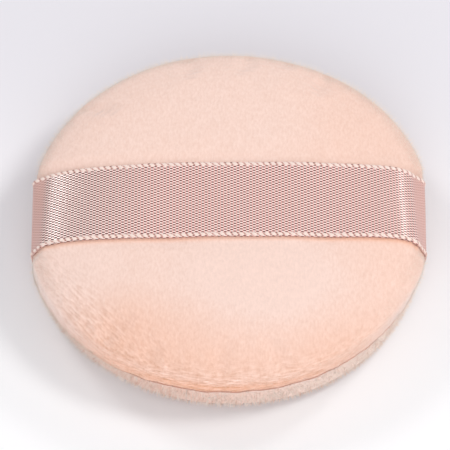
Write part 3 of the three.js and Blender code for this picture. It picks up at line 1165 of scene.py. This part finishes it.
def makeBottomCover():
    # profile from the middle of the underside up to the fold, in along the allowance and back inside;
    # paler to the right as painted light, and where the seam is hidden; deeper at the fold and the foot
    # where it shows, which is painted shade in the seam and at the table
    deep = pad["clothThickness"]
    outer = evenly(bottomLine(coverInset), pad["bottomRings"], pad["bottomCrowding"])
    lining = evenly(lowerLine(200, deep + pad["liningRoom"])[::-1], 12)[1:]
    inside = allowanceLine(-1, lowerRadius - deep - pad["seamInset"] / 2 - 0.4, lining)
    shell, within = startCover(outer, inside, bottomMove, True)[:2]
    angle, radius = polar(shell)
    onSide = smoothstep(radius, *seamWander["side"])
    tufts = lowShade["tuftHeight"] * waves(angle * 40, shell[..., 2] * 0.5, 1.6, 31) * onSide
    shell = shell - gridNormals(shell) * tufts[..., None]
    shell[..., 2] = np.maximum(shell[..., 2], lowShade["least"])
    right = smoothstep(shell[..., 0], *lowShade["rightFrom"])
    shown = seamShown(angle)
    nearFold = smoothstep(shell[..., 2] - seamHeight, *lowShade["foldHeight"]) * onSide
    foot = smoothstep(shell[..., 2], *lowShade["footHeight"])
    # paler to the right: painted light
    tone = lowShade["base"] + lowShade["rightLift"] * right + tufts
    tone += lowShade["hiddenLift"] * (1 - shown) * (1 - right)
    # deeper at the shown fold and foot: painted shade in the seam and at the table
    tone *= 1 - shown * (lowShade["foldShade"] * nearFold + lowShade["footShade"] * foot)
    plain = np.zeros(tone.shape)
    return finishCover("bottomCover", velourMaterial("paleVelour", pileLook["bottom"]), shell, within, -1,
                       tone, plain, plain)


topCover, topSurface, topTones = makeTopCover()
bottomCover, bottomSurface, bottomTones = makeBottomCover()
print("covers made: %d and %d faces" % (len(topCover.data.polygons), len(bottomCover.data.polygons)))


# Pile: each fibre is a three-sided spike that leans the way the cloth was brushed

topPile = {"fibres": 48000, "length": 0.4, "thickness": 0.014, "spread": (0.55, 1.15), "lean": 0.5,
           "scatter": 0.4, "lift": 0, "uneven": 0.3, "seed": 41,
           "brush": (0.43, -0.9, 0.0), "wallWeight": 1.5, "wall": (1.5, -1), "ribbonWeight": 0.7,
           "ribbonShort": 0.55, "bareWeight": 0.9, "bareHeight": (0.9, 0.3)}
rimPile = {"fibres": 26000, "length": 1.7, "thickness": 0.011, "spread": (0.05, 1.0), "lean": 0.15,
           "scatter": 0.35, "lift": 2.0, "uneven": 0.3, "seed": 42,
           "from": (36, 39.5), "longFrom": (36.5, 39.3), "wall": (-1.2, 1), "wallLeast": 0.06,
           "backFrom": (-26, 4), "frontLeast": 0.12, "lipHeight": (2.0, 0.6), "lipWeight": 0.9,
           "lipDown": 5, "shortest": 0.25, "ribbonWeight": 0.9}
bottomPile = {"fibres": 30000, "length": 1.0, "thickness": 0.045, "spread": (0.55, 1.15), "lean": 0.5,
              "scatter": 0.25, "lift": 0.8, "uneven": 0.2, "seed": 43,
              "from": (33, 37), "underside": 0.06, "ribbonHeight": (5.5, 6.5), "ribbonWeight": 0.9,
              "ribbonShort": 0.6, "seamHeight": (4.5, 6.4), "seamShort": 0.6, "seamUp": 6,
              "bareHeight": (6.1, 6.7), "bareWeight": 0.9, "clumpTone": 0.3, "rightLift": 2.5,
              "rightFrom": (-5, 28)}
pileMargin = 0.8        # the pile is pressed this much wider than the ribbon
rootDepth = 0.12
tableRoom = 0.03


def pileSpikes(name, surface, normals, weight, tone, lengthShare, brush, lift, settings, material):
    # Roots are drawn in the cells of the cover's grid by area and weight. A tip lies along the normal,
    # turned by the brush direction and some scatter. The map is (tone, 0 at the root to 1 at the tip).
    # Fibres are lit as the cloth is, or more from above by their lift.
    draw = np.random.default_rng(settings["seed"])
    count = settings["fibres"]
    right = np.roll(surface, -1, axis=1)
    area = np.linalg.norm(np.cross(surface[1:] - surface[:-1], right[:-1] - surface[:-1]), axis=-1)
    chance = np.cumsum((area * weight[:-1]).ravel())
    cell = np.searchsorted(chance, draw.random(count) * chance[-1])
    ring, turn = np.unravel_index(np.clip(cell, 0, area.size - 1), area.shape)
    a, b = draw.random((2, count, 1))
    nextTurn = (turn + 1) % surface.shape[1]

    def inCell(field):
        # between the four corners of the cell
        low = field[ring, turn] * (1 - b) + field[ring, nextTurn] * b
        high = field[ring + 1, turn] * (1 - b) + field[ring + 1, nextTurn] * b
        return low * (1 - a) + high * a

    root = inCell(surface)
    normal = unit(inCell(normals))
    lean = inCell(brush) * settings["lean"]
    way = unit(normal + lean + draw.normal(size=(count, 3)) * settings["scatter"])
    reach = settings["length"] * inCell(lengthShare[..., None])
    reach = reach * draw.uniform(*settings["spread"], (count, 1))
    tip = root + way * reach
    side = unit(np.cross(way, draw.normal(size=(count, 3))))[:, None]
    other = np.cross(way, side[:, 0])[:, None]
    foot = root - way * rootDepth
    tip[:, 2] = np.maximum(tip[:, 2], tableRoom)
    foot[:, 2] = np.maximum(foot[:, 2], tableRoom)
    angle = np.arange(3)[:, None] * 2 * np.pi / 3
    base = foot[:, None] + settings["thickness"] * (side * np.cos(angle) + other * np.sin(angle))
    points = np.concatenate([base, tip[:, None]], axis=1).reshape(-1, 3)
    spike = np.array([[0, 1, 3], [1, 2, 3], [2, 0, 3], [2, 1, 0]])
    faces = (np.arange(count)[:, None, None] * 4 + spike).reshape(-1, 3)
    own = inCell(tone[..., None])[:, 0] + draw.normal(size=count) * settings["uneven"]
    along = np.clip(own, 0.02, 0.97)[:, None] + np.array([0, 0.004, 0.008, 0.004])
    upFibre = np.broadcast_to([0.02, 0.02, 0.02, 0.98], (count, 4))
    place = np.stack([along, upFibre], axis=-1).reshape(-1, 2)
    mesh = bpy.data.meshes.new(name)
    mesh.from_pydata((points * mm).tolist(), [], faces.tolist())
    setMaps(mesh, place[faces.ravel()])
    piece = newPiece(name, mesh, material)
    shading = unit(normal + inCell(lift[..., None]) * np.array([0, 0, settings["lift"]]))
    mesh.normals_split_custom_set_from_vertices(np.repeat(shading, 4, axis=0).tolist())
    return piece


def growTopPile():
    # Short fibres all over the top, denser on its steep wall, sparse under the ribbon and at the bare fold.
    # Long ones at the rim: on the shoulder, most at the back, and down over the fold where it is hidden.
    normals = gridNormals(topSurface)
    angle, radius = polar(topSurface)
    height = topSurface[..., 2]
    even = np.ones(radius.shape)
    under = underRibbon(topSurface, pileMargin, 12)
    short = 1 - topPile["ribbonShort"] * under
    bare = seamBare(angle) * smoothstep(height - seamHeight, *topPile["bareHeight"])
    weight = 1 + topPile["wallWeight"] * smoothstep(height - shoulderHeight, *topPile["wall"])
    weight = (weight - topPile["ribbonWeight"] * under) * (1 - topPile["bareWeight"] * bare)
    brush = np.broadcast_to(topPile["brush"], topSurface.shape)
    # fibres take the cover's tone, with its painted sheen and shade
    crownNap = pileSpikes("topPile", topSurface, normals, weight, topTones, short, brush, even, topPile,
                          napMaterial("velourPile", pileLook["topFibre"]))
    shoulder = smoothstep(height - shoulderHeight, *rimPile["wall"])
    lip = (1 - seamShown(angle)) * smoothstep(height - seamHeight, *rimPile["lipHeight"])
    backward = atLeast(rimPile["frontLeast"], smoothstep(topSurface[..., 1], *rimPile["backFrom"]))
    atRim = smoothstep(radius, *rimPile["from"]) * (1 - rimPile["ribbonWeight"] * under)
    atRim *= atLeast(rimPile["wallLeast"], shoulder) * backward + rimPile["lipWeight"] * lip
    long = short * atLeast(rimPile["shortest"], smoothstep(radius, *rimPile["longFrom"]))
    long *= atLeast(rimPile["shortest"], np.maximum(shoulder, lip))
    outward = outwardFrom(topSurface)
    outward[..., 2] -= rimPile["lipDown"] * lip
    rimNap = pileSpikes("rimPile", topSurface, normals, atRim, topTones, long, outward, even, rimPile,
                        napMaterial("rimPile", pileLook["rimFibreSheen"]))
    return crownNap, rimNap


def growBottomPile():
    # thick fibres in tufts on the side of the bottom cover, few on the underside, short at the shown seam
    # and brushed up over the seam where it is hidden
    angle, radius = polar(bottomSurface)
    height = bottomSurface[..., 2]
    onSide = smoothstep(radius, *bottomPile["from"])
    under = underRibbon(bottomSurface, pileMargin, 12) * smoothstep(height, *bottomPile["ribbonHeight"])
    shown = seamShown(angle)
    atSeam = smoothstep(height, *bottomPile["seamHeight"])
    bare = seamBare(angle) * smoothstep(height, *bottomPile["bareHeight"])
    weight = (bottomPile["underside"] + onSide) * (1 - bottomPile["ribbonWeight"] * under)
    weight *= 1 - bottomPile["bareWeight"] * bare
    short = atLeast(0.5, onSide) * (1 - bottomPile["ribbonShort"] * under)
    short *= 1 - bottomPile["seamShort"] * shown * atSeam
    clump = waves(angle * 40, height * 0.3, 1.0, 44)
    outward = outwardFrom(bottomSurface)
    outward[..., 2] += bottomPile["seamUp"] * (1 - shown) * atSeam
    outward += clump[..., None] * np.stack([-np.sin(angle), np.cos(angle), 0 * angle], axis=-1)
    # the cover's tone, with its painted light and shade, and a tone for each clump
    tones = bottomTones + bottomPile["clumpTone"] * clump
    lift = 1 + bottomPile["rightLift"] * smoothstep(bottomSurface[..., 0], *bottomPile["rightFrom"])
    normals = -gridNormals(bottomSurface)
    return pileSpikes("bottomPile", bottomSurface, normals, weight, tones, short, outward, lift, bottomPile,
                      napMaterial("palePile", pileLook["lowFibre"]))


crownNap, rimNap = growTopPile()
lowNap = growBottomPile()
print("pile grown: %d fibres" % (topPile["fibres"] + rimPile["fibres"] + bottomPile["fibres"]))


# Ribbon: one strip from seam to seam, with its weave raised in the mesh, and a rope-like edge on both sides

def alongRibbon(line, across, up):
    # rings across the line's normals: a place across and a height above the line for each point
    normal = lineNormals(line)
    x = line[:, :1] + normal[:, :1] * up
    z = line[:, 1:] + normal[:, 1:] * up
    return np.stack([x, np.broadcast_to(across, x.shape), z], axis=-1)


def makeRibbon():
    # section: across the top with the weave, round the edge and back under it; carried along the line
    half = ribbon["width"] / 2
    upper = np.linspace(half, -half, ribbon["topSteps"])
    lower = np.linspace(-half, half, ribbon["underSteps"])
    across = np.concatenate([upper, lower])
    level = np.repeat([0.5, -0.5], [len(upper), len(lower)]) * ribbon["thickness"]
    run = np.linspace(0, ribbonLength, len(ribbonLine))[:, None]
    alongTurn = 2 * np.pi * run / ribbon["floatPitch"]
    acrossTurn = 2 * np.pi * (ribbon["skew"] * run - (half - across)) / ribbon["rowPair"]
    relief = ribbon["floatHeight"] * (np.cos(alongTurn - acrossTurn) + np.cos(alongTurn + acrossTurn)) / 2
    up = level + np.where(level > 0, relief, 0) + ribbonBow(run, across)
    turned = ribbon["width"] + ribbon["thickness"] + half + lower
    around = np.concatenate([half - upper, turned, [ribbonGirth]]) / ribbonGirth
    return ringSkin("ribbon", alongRibbon(ribbonLine, across, up), satinMaterial(), around)


edgeRow = {
    "radius": 0.44,
    "flat": 0.5,
    "lift": 0.14,
    "lobe": 0.2,
    "slant": 0.9,
    "pitch": 1.264,
    "inset": 0.42,
    "steps": 900,
    "sides": 14,
    # deep between the beads: painted shade; pale on their crests
    "look": {"Deep": rgba(204, 156, 145), "Pale": rgba(248, 226, 216)},
}


def makeEdge(name, side, material):
    # row of beads: the radius swells once a pitch along the ribbon, slanted by a cosine round it
    run = np.linspace(0, ribbonLength, edgeRow["steps"])[:, None]
    angle = np.arange(edgeRow["sides"]) * 2 * np.pi / edgeRow["sides"]
    phase = 2 * np.pi * run / edgeRow["pitch"] + edgeRow["slant"] * np.cos(angle)
    radius = edgeRow["radius"] * (1 - edgeRow["lobe"] + edgeRow["lobe"] * np.cos(phase))
    centre = side * (ribbon["width"] / 2 - edgeRow["inset"])
    up = radius * np.sin(angle) * edgeRow["flat"] + edgeRow["lift"] + ribbonBow(run, centre)
    line = evenly(ribbonLine, edgeRow["steps"])
    return ringSkin(name, alongRibbon(line, centre + radius * np.cos(angle), up), material)


ribbonStrip = makeRibbon()
edgeLook = edgeMaterial()
ribbonEdges = [makeEdge("ribbonEdgeBack", 1, edgeLook), makeEdge("ribbonEdgeFront", -1, edgeLook)]
print("ribbon woven: %.1f mm long, %d faces" % (ribbonLength, len(ribbonStrip.data.polygons)))


# Foam and threads inside

foamSet = {
    "inset": 2.0,
    "grooveHalf": 2.3,
    "grooveRoom": 0.5,
    "lipRoom": 1.2,
    "lowLipRoom": 1.8,
    "lipRise": 0.3,
    "lipGap": 0.5,
    "rings": 150,
    "turns": 180,
    "cellHeight": 0.07,
    "cellPitch": 1.4,
    "cellScale": 1100.0,      # per metre
    "wallRange": (0.1, 0.6),
    # dark colour of the cell pits: painted shade
    "pitShade": rgba(206, 188, 166),
    "wall": rgba(247, 239, 226),
}


def makeFoam():
    # crown and underside moved in by the cloth, with a groove at the rim for the seam allowances
    top = seamHeight + foamSet["grooveHalf"]
    low = seamHeight - foamSet["grooveHalf"]
    groove = allowanceRadius - foamSet["grooveRoom"]
    edge = pad["radius"] - pad["clothThickness"]
    crown = crownLine(300, foamSet["inset"])
    under = lowerLine(200, foamSet["inset"])[::-1]
    notch = [[edge - foamSet["lipRoom"], top + foamSet["lipRise"]], [groove, top],
             [groove, low], [edge - foamSet["lowLipRoom"], low - foamSet["lipRise"]]]
    line = np.concatenate([crown[crown[:, 1] > top + foamSet["lipGap"]], notch,
                           under[under[:, 1] < low - foamSet["lipGap"]]])
    line = evenly(line, foamSet["rings"])
    line[0, 0] = line[-1, 0] = pad["poleRadius"]
    rings = shapeRim(turnLine(line, foamSet["turns"]))
    x, y, z = np.moveaxis(rings, -1, 0)
    pits = waves(x, y, foamSet["cellPitch"], 61) + waves(y, z, foamSet["cellPitch"], 62)
    rings = rings - gridNormals(rings) * (foamSet["cellHeight"] * np.abs(pits))[..., None]
    return ringSkin("foamCore", rings, foamMaterial())


sewing = {
    "diameter": 0.34,
    "foldInset": 1.2,         # of the frame's covers, which the stitches follow
    "stitchInset": 2.2,
    "stitchPitch": 5.0,
    "runHeight": 1.73,        # from the seam
    "dipHeight": 0.33,
    "dipReach": 0.55,
    "endStitch": 0.4,
    "closingLength": 36.0,
    "closingTurn": math.radians(-50),
    "ladderPitch": 3.0,
    "ladderInset": 0.6,
    "ladderHeight": 0.75,
    "plyTurn": 1.1,
    "plyLobe": 0.14,
    "sides": 8,
    # deep between the plies: painted shade; pale on their crests
    "look": {"Turns": 190.0, "Plies": 2.0, "Deep": rgba(190, 140, 116), "Pale": rgba(238, 204, 184)},
}
closingHalf = sewing["closingLength"] / 2 / pad["radius"]
seamRadius = pad["radius"] - sewing["foldInset"]


def threadTube(name, path, material):
    # two-ply thread along a path: the radius swells twice round the section and turns along the path
    run = unit(np.gradient(path, axis=0))
    side = unit(np.cross(run, [0.0, 0.0, 1.0]))
    up = np.cross(side, run)[:, None]
    length = np.concatenate([[0], np.cumsum(np.linalg.norm(np.diff(path, axis=0), axis=1))])
    angle = np.arange(sewing["sides"]) * 2 * np.pi / sewing["sides"]
    twist = angle - 2 * np.pi * length[:, None] / sewing["plyTurn"]
    radius = sewing["diameter"] / 2 * (1 - sewing["plyLobe"] + sewing["plyLobe"] * np.cos(2 * twist))
    section = side[:, None] * np.cos(angle)[:, None] + up * np.sin(angle)[:, None]
    return ringSkin(name, path[:, None] + radius[..., None] * section, material)


def rimPath(radius, angle, height):
    # a path round the rim that follows its shape and the seam
    points = np.stack([radius * np.cos(angle), radius * np.sin(angle), height], axis=-1)
    return wander(shapeRim(points), False)


def lockPath(side):
    # runs round the rim above or below the seam and dips into the cloth at every stitch
    radius = seamRadius - sewing["stitchInset"]
    sweep = 2 * np.pi - 2 * closingHalf
    count = round(sweep * radius / sewing["stitchPitch"])
    share = np.linspace(sewing["endStitch"] / count, 1 - sewing["endStitch"] / count, 1700)
    angle = sewing["closingTurn"] + closingHalf + sweep * share
    offStitch = np.abs((share * count) % 1 - 0.5) * sweep * radius / count
    dip = np.cos(np.pi / 2 * np.clip(offStitch / (2 * sewing["dipReach"]), 0, 1)) ** 2
    fromSeam = sewing["runHeight"] + (sewing["dipHeight"] - sewing["runHeight"]) * dip
    return rimPath(radius, angle, seamHeight + side * fromSeam)


def ladderPath():
    # square wave across the two folded edges along the closed gap
    radius = seamRadius - sewing["ladderInset"]
    share = np.linspace(0, 1, 500)
    count = round(2 * closingHalf * radius / sewing["ladderPitch"])
    swing = np.tanh(4 * np.cos(np.pi * count * share))
    angle = sewing["closingTurn"] + closingHalf * (2 * share - 1)
    return rimPath(radius, angle, seamHeight + sewing["ladderHeight"] * swing)


foamCore = makeFoam()
threadLook = threadMaterial()
needleThread = threadTube("needleThread", lockPath(1), threadLook)
bobbinThread = threadTube("bobbinThread", lockPath(-1), threadLook)
closingThread = threadTube("closingThread", ladderPath(), threadLook)
print("foam and threads made")


# Some pieces ride on the crown's body, the rest stay in place; the frame's nodes they replace are hidden


def givesWithPad(piece):
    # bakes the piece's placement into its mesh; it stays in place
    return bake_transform(piece)


def liftsWithBand(piece):
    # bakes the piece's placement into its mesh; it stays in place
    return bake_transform(piece)


def cutSize(line):
    # diameter of the flat disc: the line from the middle to the fold and the seam allowance, both ways
    return 2 * (lineLength(line) + pad["allowanceWidth"]) * mm


def rideAndDeclare():
    # puts the top cover, its pile and the threads on the crown's body, keeps the other pieces in place,
    # hides the frame's nodes they replace and works out the covers' cut sizes
    for piece in (topCover, crownNap, rimNap):
        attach(piece, "crown")
    for piece in (bottomCover, lowNap):
        givesWithPad(piece)
    for piece in (ribbonStrip, *ribbonEdges):
        liftsWithBand(piece)
    givesWithPad(foamCore)
    for piece in (needleThread, bobbinThread, closingThread):
        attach(piece, "crown")
    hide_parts("top_cover")
    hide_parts("bottom_cover")
    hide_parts("ribbon_band", "ribbon_left_end", "ribbon_right_end")
    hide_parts("foam_core")
    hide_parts("seam_needle_thread")
    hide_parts("seam_bobbin_thread")
    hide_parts("closing_thread")
    topCut = cutSize(topLine(0))
    bottomCut = cutSize(bottomLine(0))


rideAndDeclare()


# Studio: pale table, soft key from the right, two small lights behind for the satin's gloss, a wide one in
# front and even light all round

studio = {
    "tableColor": rgba(252, 252, 254),
    # the table's back is painted greyer: painted shade of the light falling off
    "tableBackShade": rgba(231, 229, 235),
    "tableFade": (-0.04, 0.06),
    "tableReach": 3.0,
    "skyColor": (0.98, 0.98, 1.0, 1.0),
    "skyStrength": 0.44,
    # place, size, power and colour
    "keyLight": ((0.62, 0.1, 0.77), 0.3, 2.8, (1.0, 0.98, 0.95)),
    "rightLight": ((0.62, 0.55, 0.55), 0.16, 1.5, (1.0, 0.99, 0.98)),
    "leftLight": ((-0.54, 0.57, 0.62), 0.28, 1.9, (1.0, 0.99, 0.98)),
    "frontLight": ((-0.08, -0.85, 0.5), 0.8, 4.3, (0.98, 0.99, 1.0)),
}


def tableMaterial():
    # pale matt table, painted a little greyer to the back as the light's falloff
    material, tree, shader = newMaterial("table", roughness=0.9, specular=0.1)
    back = mapRange(tree, splitMap(tree, objectPlace(tree))[1], studio["tableFade"])
    feedShader(tree, shader, mixColors(tree, back, studio["tableColor"], studio["tableBackShade"]))
    return material


def addLight(name):
    # a disc of light that faces the puff
    place, size, power, color = studio[name]
    data = bpy.data.lights.new(name, "AREA")
    data.shape = "DISK"
    data.size = size
    data.energy = power
    data.color = color
    lamp = bpy.data.objects.new(name, data)
    lamp.location = place
    lamp.rotation_euler = (-Vector(place)).to_track_quat("-Z", "Y").to_euler()
    scene.collection.objects.link(lamp)


def makeStudio():
    # the table, the lights and the sky
    reach = studio["tableReach"]
    corners = [(-reach, -reach, 0), (reach, -reach, 0), (reach, reach, 0), (-reach, reach, 0)]
    mesh = bpy.data.meshes.new("table")
    mesh.from_pydata(corners, [], [(0, 1, 2, 3)])
    newPiece("table", mesh, tableMaterial())
    for name in ("keyLight", "rightLight", "leftLight", "frontLight"):
        addLight(name)
    scene.world = scene.world or bpy.data.worlds.new("studio")
    scene.world.use_nodes = True
    background = scene.world.node_tree.nodes["Background"]
    background.inputs["Color"].default_value = studio["skyColor"]
    background.inputs["Strength"].default_value = studio["skyStrength"]


makeStudio()
print("studio lit")
